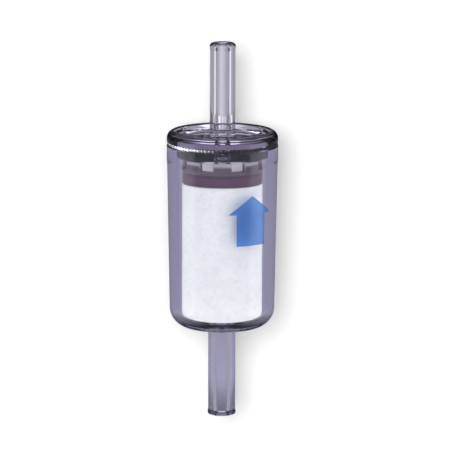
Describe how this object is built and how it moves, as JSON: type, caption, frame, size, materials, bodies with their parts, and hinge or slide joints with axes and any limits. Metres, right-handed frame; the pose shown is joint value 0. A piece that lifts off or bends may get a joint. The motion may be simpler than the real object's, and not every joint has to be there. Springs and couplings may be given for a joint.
{
  "type": "compressed air filter",
  "caption": "Clear in-line compressed air filter: welded moulded bowl and dished cap with straight tube stubs, a white fibre tube and its castellated retainer inside.",
  "frame": {"origin": "centre of the inlet stub's end face, at the bottom", "axes": "+Z along the filter's axis, from the inlet stub to the outlet stub; -Y is the side with the flow arrow's left edge in front, as the picture shows it"},
  "size_m": [0.0278, 0.0278, 0.0943],
  "materials": {
    "clear_nylon": "clear moulded nylon with a faint smoky violet tint, glossy",
    "filter_fibre": "white bonded fibre tube, matt and slightly fuzzy",
    "retainer_nylon": "brown-violet moulded plastic, satin"
  },
  "bodies": {
    "root": {"bowl": "clear_nylon", "cap": "clear_nylon", "filter_element": "filter_fibre", "element_retainer": "retainer_nylon"}
  },
  "joints": []
}
